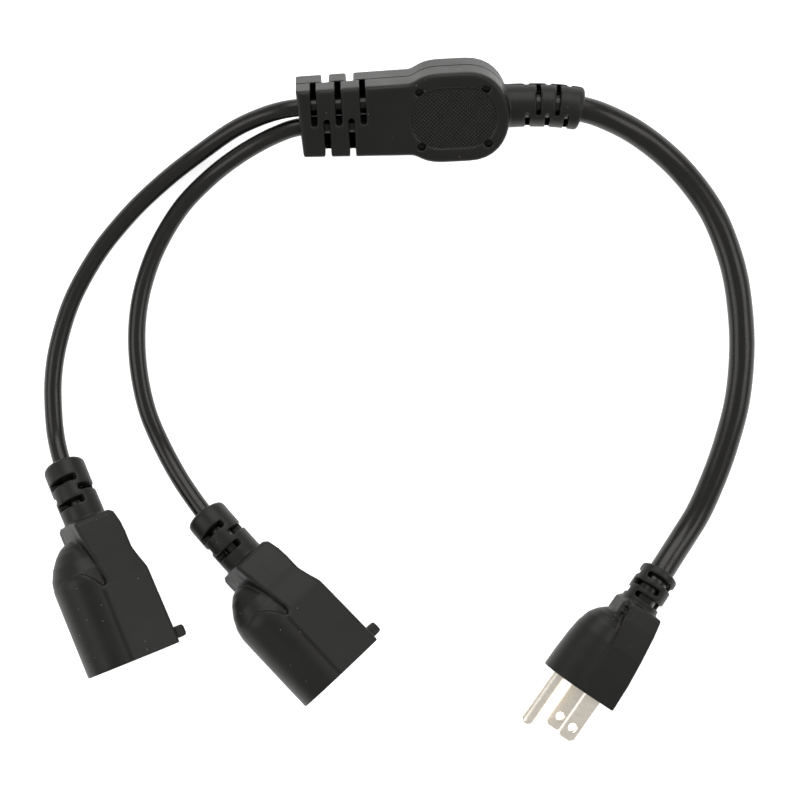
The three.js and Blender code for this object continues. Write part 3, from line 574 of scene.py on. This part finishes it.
def distanceAtX(path, x):
    gone = 0.0
    for here, after in zip(path, path[1:]):
        if (here.x - x) * (after.x - x) <= 0:
            return gone + (after - here).length * (x - here.x) / (after.x - here.x)
        gone += (after - here).length
    return gone


def tubeSolid(path, stations, sides=40):
    rings = []
    for distance, radius in stations:
        centre, ahead = walk(path, distance)
        side = Vector((0, 0, 1)).cross(ahead).normalized()
        top = ahead.cross(side)
        turns = [2 * math.pi * k / sides for k in range(sides)]
        rings.append([centre + side * (radius * math.cos(t)) + top * (radius * math.sin(t)) for t in turns])
    return loftSolid(rings)


def evenly(start, end, steps):
    return [start + (end - start) * i / steps for i in range(steps + 1)]


# a round sleeve on the cord's own curve. At each slot its upper half is open on one side and its
# lower half on the other, and the next slot is the other way about
def reliefSolid(path, shoulder, form):
    start = distanceAtX(path, shoulder)
    outer = start + form["length"]
    radius = form["diameter"] / 2
    rim = form["rim"]
    stations = [(d, radius) for d in evenly(start - reliefRoot, outer - rim, 8)]
    for share in (0.4, 0.75, 1):  # a quarter round at the rim
        stations.append((outer - rim + rim * share, radius - rim * (1 - math.sqrt(1 - share * share))))
    cuts = []
    for i, place in enumerate(form["slots"]):
        side = form["firstSide"] * (-1 if i % 2 else 1)
        past = form["pasts"][i % 2]
        centre, ahead = walk(path, start + place)
        x = ahead if ahead.x > 0 else -ahead
        y = Vector((0, 0, 1)).cross(x).normalized()
        turn = Matrix.Translation(centre) @ Matrix((x, y, x.cross(y))).transposed().to_4x4()
        for half in (1, -1):
            reach = (-past, form["diameter"]) if side * half > 0 else (-form["diameter"], past)
            height = (0, form["diameter"]) if half > 0 else (-form["diameter"], 0)
            cutter = boxSolid((-form["slotWidth"] / 2, reach[0], height[0]),
                              (form["slotWidth"] / 2, reach[1], height[1]))
            cutter.data.transform(turn)
            cuts.append(cutter)
    return combined(tubeSolid(path, stations), cut=cuts), outer


def cordBore(path, outer, cord):
    radius = cord["diameter"] / mm / 2 + clearance
    return tubeSolid(path, [(d, radius) for d in evenly(0, outer + 2 * beyond, 16)], 24)


def roundedRing(x, low, high, half, radius):
    ring = []
    for y, z, quarter in ((high, half, 0), (low, half, 1), (low, -half, 2), (high, -half, 3)):
        cy = y - math.copysign(radius, y - (low + high) / 2)
        cz = z - math.copysign(radius, z)
        for i in range(5):
            turn = math.pi / 2 * (quarter + i / 4)
            ring.append(Vector((x, cy + radius * math.cos(turn), cz + radius * math.sin(turn))))
    return ring


def slabSolid(stations, radius):
    return loftSolid([roundedRing(*station, radius) for station in stations])


# rings of x, radius and height share: round in plan, flatter where the share is under 1
def ovalBack(stations, centreY, sides=64):
    rings = []
    for x, radius, share in stations:
        turns = [2 * math.pi * k / sides for k in range(sides)]
        rings.append([Vector((x, centreY + radius * math.cos(t), share * radius * math.sin(t)))
                      for t in turns])
    return loftSolid(rings)


def neckSolid(neck):
    low, high, outerY, half, corner = neck["from"], neck["to"], neck["outerY"], neck["half"], neck["corner"]
    return loftSolid([roundedRing(low, outerY + 1, 0, half - corner / 2, corner),
                      roundedRing(low + corner, outerY, 0, half, corner),
                      roundedRing(high, outerY, 0, half, corner)])


# junction: a flat pod with a trunk for the two cords. The trunk's slots come in from the upper and
# the lower edge by turns, each through half the thickness, as the mould's two halves meet
junctionForm = {
    "pod": (32.5, 31), "thickness": 19.2, "trunk": 37.5, "trunkAtPod": 25, "trunkAtEnd": 23.6,
    # the curve from the trunk to the pod's side: its start, its two handles and its end's share of the pod
    "shoulderStart": 0.5, "shoulderHandle": (2.5, 0.6), "shoulderRise": 3, "shoulderEnd": 0.35,
    # the pod's round end: its start and its two handles, as shares of half the pod
    "roundStart": 0.14, "roundHandles": (0.74, 0.5),
    "endSlant": 1, "slots": 5, "slotPitch": 4.1, "slotsFromEnd": 5.2, "slotWidth": 1.9,
    "slotPast": (0.7, 1.8), "backSlotWidth": 2.4, "backSlotPast": -0.9,
    "cavityOutline": ((-27.8, -9.4), (11.6, -9.4), (14.7, -6), (14.7, 6), (11.6, 9.4), (-27.8, 9.4)),
    "cavityHalf": 6.1, "blockCorner": ((11.3, 10), (16, 4.8), (16, 10)),
    "relief": {"length": 24.2, "diameter": 14.6, "rim": 1.4, "slots": (6, 9.8, 12.9, 16.1, 19.4),
               "slotWidth": 1.4, "firstSide": -1, "pasts": (-0.7, 1.6)},
}
gripPad = {
    "centreX": -2.3, "length": 28.4, "width": 21, "corner": 9.6, "depth": 0.9, "step": 0.16,
    "pitch": 1.3, "pointHeight": 0.55, "sharpness": 0.7, "overlap": 0.1, "lift": 0.05,
    "pinSpan": (22.2, 19), "pinDiameter": 2.6, "pinDepth": 2.4,
}


def bezier(a, b, c, d, steps=10):
    corners = [Vector((x, y, 0)) for x, y in (a, b, c, d)]
    return [(p.x, p.y) for p in interpolate_bezier(*corners, steps)]


def junctionOutline(form):
    end, half = form["pod"][0] / 2, form["pod"][1] / 2
    neck = form["trunkAtPod"] / 2
    trunkEnd, slant = -end - form["trunk"], form["endSlant"]
    start = (-end - form["shoulderStart"], neck)
    along, up = form["shoulderHandle"]
    roundAlong, roundDown = form["roundHandles"]
    upper = [(trunkEnd - slant / 2, form["trunkAtEnd"] / 2)]
    upper += bezier(start, (-end + along, neck + up), (-end + form["shoulderRise"], half),
                    (-end * form["shoulderEnd"], half))
    upper += bezier((end * form["roundStart"], half), (end * roundAlong, half), (end, half * roundDown),
                    (end, 0))
    lower = [(x, -y) for x, y in reversed(upper[1:-1])]
    lower.append((trunkEnd + slant, -form["trunkAtEnd"] / 2 + slant / 2))
    return upper + lower


# a slot with a round inner end, open at the upper edge (side 1) or the lower one
def trunkSlot(form, x, side, half, width, past):
    arc = [math.pi + math.pi * i / 6 for i in range(7)]
    points = [(width / 2 * math.cos(t), -past + width / 2 + width / 2 * math.sin(t)) for t in arc]
    points = [(-width / 2, form["pod"][1]), *points, (width / 2, form["pod"][1])]
    outline = [(x + side * px, side * py) for px, py in points]
    depth = form["thickness"]
    return prismSolid(outline, 0 if half > 0 else -depth, depth if half > 0 else 0)


def padOutline(pad):
    length, width, corner = pad["length"] / 2, pad["width"] / 2, pad["corner"]
    points = []
    for sx, sy, quarter in ((1, 1, 0), (-1, 1, 1), (-1, -1, 2), (1, -1, 3)):
        for i in range(9):
            turn = math.pi / 2 * (quarter + i / 8)
            points.append((pad["centreX"] + sx * (length - corner) + corner * math.cos(turn),
                           sy * (width - corner) + corner * math.sin(turn)))
    return points


def makeJunction():
    form, pad = junctionForm, gripPad
    half = form["thickness"] / 2
    end = form["pod"][0] / 2
    trunkEnd = -end - form["trunk"]
    body = prismSolid(junctionOutline(form), -half, half, edgeRadius)
    cordPath = localPath(mainRoute, junctionFrame)
    relief, outer = reliefSolid(cordPath, end, form["relief"])
    cuts = [prismSolid(form["cavityOutline"], -form["cavityHalf"], form["cavityHalf"]),
            cordBore(cordPath, outer, cords["main"])]
    for letter, route in zip("ab", branchRoutes):
        path = localPath(route, junctionFrame)
        cuts.append(cordBore(path, distanceAtX(path, trunkEnd - 2 * beyond), cords[letter]))
    for face in (1, -1):
        top, floor = face * (half + beyond), face * (half - pad["depth"])
        cuts.append(prismSolid(padOutline(pad), min(top, floor), max(top, floor)))
        for sx in (-1, 1):
            for sy in (-1, 1):
                x, y = pad["centreX"] + sx * pad["pinSpan"][0] / 2, sy * pad["pinSpan"][1] / 2
                bottom = face * (half - pad["pinDepth"])
                cuts.append(rodSolid(pad["pinDiameter"], (x, y, bottom), (x, y, top)))
    for i in range(form["slots"]):
        x = trunkEnd + form["slotsFromEnd"] + i * form["slotPitch"]
        side = -1 if i % 2 else 1
        cuts.append(trunkSlot(form, x, side, 1, form["slotWidth"], form["slotPast"][i % 2]))
        cuts.append(trunkSlot(form, x, -side, -1, form["backSlotWidth"], form["backSlotPast"]))
    return combined(body, [relief], cuts)


# grip pads: a diagonal grid of small points on the floor of each recess
def gripPadMesh(name, side):
    pad = gripPad
    bm = bmesh.new()
    bmesh.ops.create_grid(bm, x_segments=round(pad["length"] / pad["step"]),
                          y_segments=round(pad["width"] / pad["step"]), size=0.5)
    bmesh.ops.scale(bm, vec=(pad["length"], pad["width"], 1), verts=bm.verts)
    for vert in bm.verts:
        u = (vert.co.x + vert.co.y) / pad["pitch"] * math.pi
        v = (vert.co.x - vert.co.y) / pad["pitch"] * math.pi
        vert.co.z = pad["pointHeight"] * (abs(math.cos(u)) * abs(math.cos(v))) ** pad["sharpness"]
    inner = Vector((pad["length"] / 2 - pad["corner"], pad["width"] / 2 - pad["corner"]))
    reach = pad["corner"] + pad["overlap"]
    outside = [vert for vert in bm.verts if Vector((
        max(abs(vert.co.x) - inner.x, 0), max(abs(vert.co.y) - inner.y, 0))).length > reach]
    bmesh.ops.delete(bm, geom=outside, context="VERTS")
    floor = junctionForm["thickness"] / 2 - pad["depth"] + pad["lift"]
    bmesh.ops.translate(bm, vec=(pad["centreX"], 0, floor), verts=bm.verts)
    if side < 0:
        bmesh.ops.rotate(bm, matrix=Matrix.Rotation(math.pi, 3, "X"), verts=bm.verts)
    bmesh.ops.transform(bm, matrix=inMetres(junctionFrame), verts=bm.verts)
    return meshFrom(bm, name)


# plug: a slab on the blades' side, and a round back over the ground pin that begins as a nose
plugForm = {
    "slab": ((0, -4.6, 6.7, 7.3), (0.5, -4.8, 7, 7.7), (6, -4.9, 7.7, 8.8), (15.5, -4.7, 8.5, 10.1),
             (24, -4.6, 9.2, 10.7), (33.8, -4.5, 9.6, 10.95)),
    "back": ((4.9, 0.8, 0.88), (5.4, 2.9, 0.88), (6.4, 4.9, 0.88), (8.4, 7.1, 0.88), (11, 8.9, 0.88),
             (15.5, 10.2, 0.87), (20.5, 10.7, 0.89), (27, 10.9, 0.94), (33.8, 10.9, 0.98)),
    "backCentre": -4.3, "bladeLine": 2.4, "groundLine": -9.5, "bladeSpacing": 12.7, "edge": 0.9,
    "bladeHole": {"from": 30, "to": 35, "height": 7, "width": 2.1},
    # diameter, from and to: the room round the pin's root and the pin's hole, then the wires' hole
    "groundBores": ((7.2, 13.7, 30.3), (5.35, 30, 35)), "wireBore": (7.2, 9, 14.5),
    "neck": {"from": 0.2, "to": 7.6, "outerY": -7.2, "half": 4.9, "corner": 1.2},
    "ribs": [((x, -6.8, 4.4), (x + 1.1, -2, 5.9)) for x in (1.4, 3.8)], "ribEdge": 0.3,
    "relief": {"length": 12.9, "diameter": 13.3, "rim": 0.5, "slots": (9.5, 6, 2.7),
               "slotWidth": 2, "firstSide": 1, "pasts": (5.3, 0.9)},
    "cavity": (((13.7, -4.6, -8.4), (30.3, 6.4, 8.4)), ((13.7, -9.8, -3.6), (30.3, -4.5, 3.9)),
               ((13.7, -6.7, -6.8), (18.2, -4.5, 6.8)), ((18.1, -6.7, -8.4), (30.3, -4.5, 8.4))),
    "blockCorners": (((13, -7, 6.6), (18.4, -4.5, 9)), ((13, -7, -9), (18.4, -4.5, -6.6))),
}


def makePlug():
    form, hole = plugForm, plugForm["bladeHole"]
    path = localPath(list(reversed(mainRoute)), plugFrame)
    relief, outer = reliefSolid(path, 0, form["relief"])
    body = slabSolid(form["slab"], form["edge"])
    back = ovalBack(form["back"], form["backCentre"])
    cuts = [boxSolid(*corners) for corners in form["cavity"]]
    for diameter, start, end in form["groundBores"]:
        cuts.append(boreSolid(diameter, form["groundLine"], start, end))
    diameter, start, end = form["wireBore"]
    cuts += [boreSolid(diameter, 0, start, end), cordBore(path, outer, cords["main"])]
    for side in (1, -1):
        y, z = form["bladeLine"], side * form["bladeSpacing"] / 2
        cuts.append(boxSolid((hole["from"], y - hole["height"] / 2, z - hole["width"] / 2),
                             (hole["to"], y + hole["height"] / 2, z + hole["width"] / 2)))
    ribs = [boxSolid(*corners, form["ribEdge"]) for corners in form["ribs"]]
    return combined(body, [back, neckSolid(form["neck"]), *ribs, relief], cuts)


# sockets: the same family of form, longer, with an arched step before the round barrel and a
# grip bar on the flat side
socketForm = {
    "slab": ((0, -7, 6.2, 8.2), (1.2, -7.4, 7.4, 9.3), (5, -7.2, 8.1, 9.9), (9, -6.9, 8.3, 10.4),
             (12, -6.5, 8.1, 10.8), (14.5, -6.2, 8.1, 11), (17.5, -5.8, 8.8, 11.4), (21.3, -5.3, 9.9, 11.9),
             (22.3, -5.4, 10.2, 12), (24, -7.6, 10.3, 12), (49.8, -7.6, 10.8, 12)),
    "nose": ((5.3, 0.8, 0.88), (5.8, 2.7, 0.88), (6.7, 4.5, 0.88), (8.7, 6.7, 0.88), (12.2, 9.3, 0.88),
             (16, 11.1, 0.88), (19.4, 11.65, 0.88), (24, 11.6, 0.88)),
    "barrel": ((15.8, 10, 1), (16.6, 10.8, 1), (17.8, 11.3, 1), (19.6, 11.6, 1), (49.8, 11.6, 0.985)),
    "archCut": ((15, -14), (16.2, -13.4), (16.5, -12.2), (17.4, -11), (19.2, -9.5), (22.5, -7.2), (32.6, 0),
                (15, 0)),
    "archReach": 20, "backCentre": -7.6, "edge": 1, "barEdge": 0.9, "ribEdge": 0.2,
    "length": 49.8, "bladeLine": 3.6, "groundLine": -8.3, "bladeSpacing": 12.7,
    "bar": ((44.35, 9, -10.2), (48.45, 14.8, 10.2)),
    "neck": {"from": 0.5, "to": 7.4, "outerY": -7.4, "half": 5.8, "corner": 1.2},
    "ribs": [((1.8, y, 5.2), (5.4, y + 0.8, 6.7)) for y in (-6.7, -5.2, -3.7)],
    "relief": {"length": 20.2, "diameter": 14.2, "rim": 1.4, "slots": (12.8, 9.2, 5.7),
               "slotWidth": 2.2, "firstSide": -1, "pasts": (0.4, 0.4)},
    "cavity": ((19.9, -8.3, -9.4), (47.2, 8.7, 9.4)),
    # diameter, from and to: the room of the round clip, and the wires' hole
    "groundBore": (11, 19.9, 47.2), "wireBore": (7.2, 9.9, 20.7),
    # holes in the face, cut this deep. The slots lie end to end, a quarter turn from a real socket's
    "faceDepth": 6, "slots": ((1, 7), (-1, 8.6)), "slotThickness": 2, "groundHole": 5.6,
}


def makeSocket(route, matrix, cord):
    form = socketForm
    path = localPath(list(reversed(route)), matrix)
    relief, outer = reliefSolid(path, 0, form["relief"])
    arch = prismSolid(form["archCut"], -form["archReach"], form["archReach"])
    barrel = combined(ovalBack(form["barrel"], form["backCentre"]), cut=[arch])
    nose = ovalBack(form["nose"], form["backCentre"])
    inside, outside = form["length"] - form["faceDepth"], form["length"] + beyond
    clipDiameter, clipFrom, clipTo = form["groundBore"]
    wireDiameter, wireFrom, wireTo = form["wireBore"]
    cuts = [boxSolid(*form["cavity"]), boreSolid(clipDiameter, form["groundLine"], clipFrom, clipTo),
            boreSolid(wireDiameter, 0, wireFrom, wireTo), cordBore(path, outer, cord),
            boreSolid(form["groundHole"], form["groundLine"], inside, outside)]
    for side, width in form["slots"]:
        y, z = form["bladeLine"], side * form["bladeSpacing"] / 2
        cuts.append(boxSolid((inside, y - form["slotThickness"] / 2, z - width / 2),
                             (outside, y + form["slotThickness"] / 2, z + width / 2)))
    ribs = [boxSolid(*corners, form["ribEdge"]) for corners in form["ribs"]]
    bar = boxSolid(*form["bar"], form["barEdge"])
    added = [nose, barrel, neckSolid(form["neck"]), *ribs, bar, relief]
    return combined(slabSolid(form["slab"], form["edge"]), added, cuts)


def placed(solid, matrix, nodeName, name, look):
    mesh = solid.data
    bpy.data.objects.remove(solid)
    mesh.transform(inMetres(matrix))
    mesh.name = name
    piece = newPiece(name, mesh, look, smooth=False)
    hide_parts(nodeName)
    return piece


# the inner block of a moulding, trimmed where the moulding's wall comes close
def trimmedBlock(nodeName, name, matrix, cuts):
    bm = bmesh.new()
    bm.from_mesh(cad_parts[nodeName].data)
    bmesh.ops.remove_doubles(bm, verts=bm.verts, dist=1e-6)
    bmesh.ops.transform(bm, matrix=inMetres(matrix).inverted(), verts=bm.verts)
    return placed(combined(solidFrom(bm), cut=cuts), matrix, nodeName, name, looks["block"])


# ground pin: rolled from strip, so a fine seam runs along it
groundPinForm = {"diameter": 4.75, "root": 22.5, "tip": 54.4, "sides": 72, "tipRings": 9,
                 "seamWidth": 0.22, "seamDepth": 0.14, "seamTurn": 20}


def makePin():
    form = groundPinForm
    radius = form["diameter"] / 2
    straightEnd = form["tip"] - radius
    centre = Vector((0, plugForm["groundLine"], 0))
    turns = [2 * math.pi * k / form["sides"] for k in range(form["sides"])]
    stations = [(form["root"], radius), (straightEnd, radius)]
    stations += [(straightEnd + radius * math.sin(t), radius * math.cos(t))
                 for t in evenly(math.pi / 24, math.pi / 2 - math.pi / 40, form["tipRings"])]
    rings = [[centre + Vector((x, ringRadius * math.cos(t), ringRadius * math.sin(t))) for t in turns]
             for x, ringRadius in stations]
    seam = boxSolid((form["root"] - beyond, centre.y - form["seamWidth"] / 2, radius - form["seamDepth"]),
                    (straightEnd, centre.y + form["seamWidth"] / 2, radius + beyond))
    seam.data.transform(Matrix.Translation(centre) @ Matrix.Rotation(math.radians(form["seamTurn"]), 4, "X")
                        @ Matrix.Translation(-centre))
    return combined(loftSolid(rings), cut=[seam])


moulded(makeJunction(), junctionFrame, "junction_overmould", "junctionMoulding", looks["junction"],
        softening["junctionVoxel"])
plugBody = moulded(makePlug(), plugFrame, "plug_moulding", "plugMoulding", looks["moulding"])
socketBodies = [
    moulded(makeSocket(route, matrix, cords[letter]), matrix, f"socket_{letter}_moulding",
            f"socketMoulding{letter.upper()}", looks["moulding"])
    for letter, route, matrix in zip("ab", branchRoutes, socketFrames)]
blockHalf = junctionForm["cavityHalf"] + beyond
wedges = [prismSolid([(x, sign * y) for x, y in junctionForm["blockCorner"]], -blockHalf, blockHalf)
          for sign in (1, -1)]
trimmedBlock("junction_inner_block", "junctionInnerBlock", junctionFrame, wedges)
plugBlock = trimmedBlock("plug_inner_block", "plugInnerBlock", plugFrame,
                         [boxSolid(*corners) for corners in plugForm["blockCorners"]])
groundPin = placed(makePin(), plugFrame, "plug_ground_pin", "plugGroundPin", looks["nickel"])
for padName, side in (("gripPadFront", 1), ("gripPadBack", -1)):
    newPiece(padName, gripPadMesh(padName, side), looks["moulding"])
print("stage: mouldings made")

# studio: a pale floor that the camera sees as white, and broad soft lamps
studio = {
    "floor": 6, "floorColour": "#f4f4f4", "floorGlow": 0.7, "world": 0.62,
    "lamps": [
        {"name": "lampTop", "place": (0.1, 1.3, 1.1), "size": 1.3, "power": 16},
        {"name": "lampLeft", "place": (-1.4, -0.1, 1.2), "size": 1.1, "power": 9},
        {"name": "lampRight", "place": (1.4, 0.2, 1.3), "size": 1.0, "power": 9},
    ],
}


def addFloor():
    bm = bmesh.new()
    bmesh.ops.create_grid(bm, x_segments=1, y_segments=1, size=studio["floor"] / 2)
    look, tree, shader = newMaterial("paleFloor")
    shader.inputs["Base Color"].default_value = linearColour(studio["floorColour"])
    shader.inputs["Roughness"].default_value = 0.9
    rays = addNode(tree, "ShaderNodeLightPath")
    seen = addNode(tree, "ShaderNodeMath", {
        0: rays.outputs["Is Camera Ray"], 1: rays.outputs["Is Glossy Ray"]}, operation="MAXIMUM")
    seenToo = addNode(tree, "ShaderNodeMath", {
        0: seen.outputs[0], 1: rays.outputs["Is Transmission Ray"]}, operation="MAXIMUM")
    glow = addNode(tree, "ShaderNodeMath", {
        0: seenToo.outputs[0], 1: studio["floorGlow"]}, operation="MULTIPLY")
    shader.inputs["Emission Color"].default_value = (1, 1, 1, 1)
    tree.links.new(glow.outputs[0], shader.inputs["Emission Strength"])
    floor = bpy.data.objects.new("floor", meshFrom(bm, "floor"))
    floor.data.materials.append(look)
    bpy.context.collection.objects.link(floor)


def addLamps():
    for setup in studio["lamps"]:
        data = bpy.data.lights.new(setup["name"], "AREA")
        data.size = setup["size"]
        data.energy = setup["power"]
        lamp = bpy.data.objects.new(setup["name"], data)
        lamp.location = setup["place"]
        lamp.rotation_euler = (-Vector(setup["place"])).to_track_quat("-Z", "Y").to_euler()
        bpy.context.collection.objects.link(lamp)
    world = bpy.data.worlds.new("studioLight")
    world.use_nodes = True
    world.node_tree.nodes["Background"].inputs["Color"].default_value = (1, 1, 1, 1)
    world.node_tree.nodes["Background"].inputs["Strength"].default_value = studio["world"]
    bpy.context.scene.world = world


addFloor()
addLamps()
bpy.context.scene.view_settings.view_transform = "Standard"
print("stage: studio lit")
